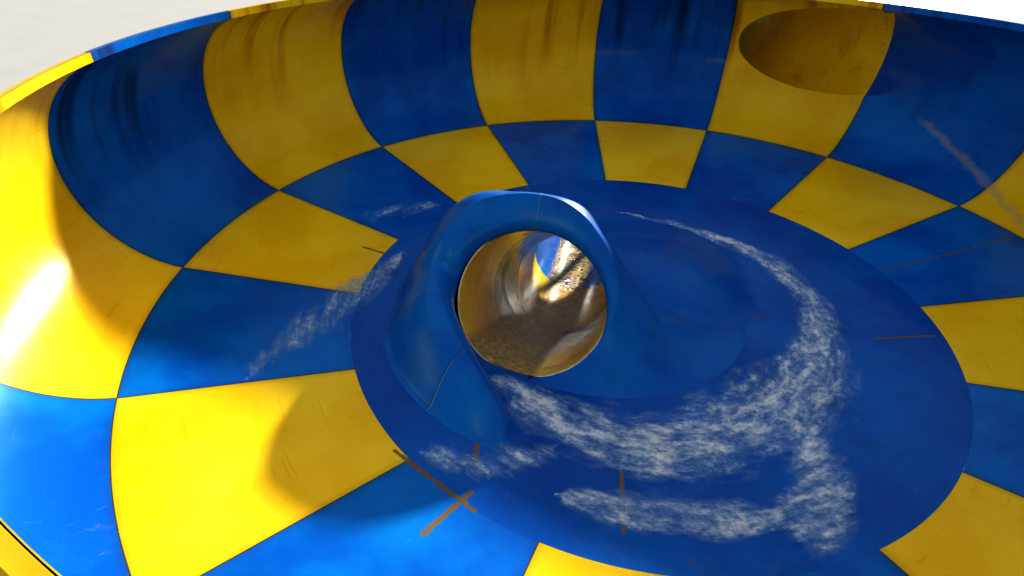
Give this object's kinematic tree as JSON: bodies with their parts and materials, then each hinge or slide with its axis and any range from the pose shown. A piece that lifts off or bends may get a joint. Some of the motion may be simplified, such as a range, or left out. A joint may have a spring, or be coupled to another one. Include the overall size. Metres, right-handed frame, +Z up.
{
  "type": "water slide bowl",
  "caption": "Round raft bowl of checkered moulded panels with an overhanging wall, a flume through the wall and a covered exit tunnel in the floor, on steel frames.",
  "frame": {"origin": "middle of the footprint, on the ground", "axes": "+Z up, +Y the way that the inlet flume and the exit tunnel leave the bowl at its back, +X to the right"},
  "size_m": [18.3226, 23.281, 9.3693],
  "materials": {
    "yellow_fibreglass": "gloss gelcoat, stained and wet",
    "blue_fibreglass": "gloss gelcoat, stained and wet",
    "galvanised_steel": "galvanised, dull spangle"
  },
  "bodies": {
    "root": {"wall_panel_1": "yellow_fibreglass", "wall_panel_2": "blue_fibreglass", "wall_panel_3": "yellow_fibreglass", "wall_panel_4": "blue_fibreglass", "wall_panel_5": "yellow_fibreglass", "wall_panel_6": "blue_fibreglass", "wall_panel_7": "yellow_fibreglass", "wall_panel_8": "blue_fibreglass", "wall_panel_9": "yellow_fibreglass", "wall_panel_10": "blue_fibreglass", "wall_panel_11": "yellow_fibreglass", "wall_panel_12": "blue_fibreglass", "wall_panel_13": "yellow_fibreglass", "wall_panel_14": "blue_fibreglass", "wall_panel_15": "yellow_fibreglass", "wall_panel_16": "blue_fibreglass", "course_panel_1": "blue_fibreglass", "course_panel_2": "yellow_fibreglass", "course_panel_3": "blue_fibreglass", "course_panel_4": "yellow_fibreglass", "course_panel_5": "blue_fibreglass", "course_panel_6": "yellow_fibreglass", "course_panel_7": "blue_fibreglass", "course_panel_8": "yellow_fibreglass", "course_panel_9": "blue_fibreglass", "course_panel_10": "yellow_fibreglass", "course_panel_11": "blue_fibreglass", "course_panel_12": "yellow_fibreglass", "course_panel_13": "blue_fibreglass", "course_panel_14": "yellow_fibreglass", "course_panel_15": "blue_fibreglass", "course_panel_16": "yellow_fibreglass", "bowl_floor": "blue_fibreglass", "exit_cowl": "blue_fibreglass", "exit_mouth": "yellow_fibreglass", "exit_tube_upper": "blue_fibreglass", "exit_tube_middle": "yellow_fibreglass", "exit_tube_lower": "blue_fibreglass", "inlet_flume_lower": "yellow_fibreglass", "inlet_flume_upper": "blue_fibreglass", "support_frame_1": "galvanised_steel", "support_frame_2": "galvanised_steel", "support_frame_3": "galvanised_steel", "support_frame_4": "galvanised_steel", "support_frame_5": "galvanised_steel", "support_frame_6": "galvanised_steel", "support_frame_7": "galvanised_steel", "support_frame_8": "galvanised_steel", "exit_support": "galvanised_steel", "inlet_support": "galvanised_steel"}
  },
  "joints": []
}
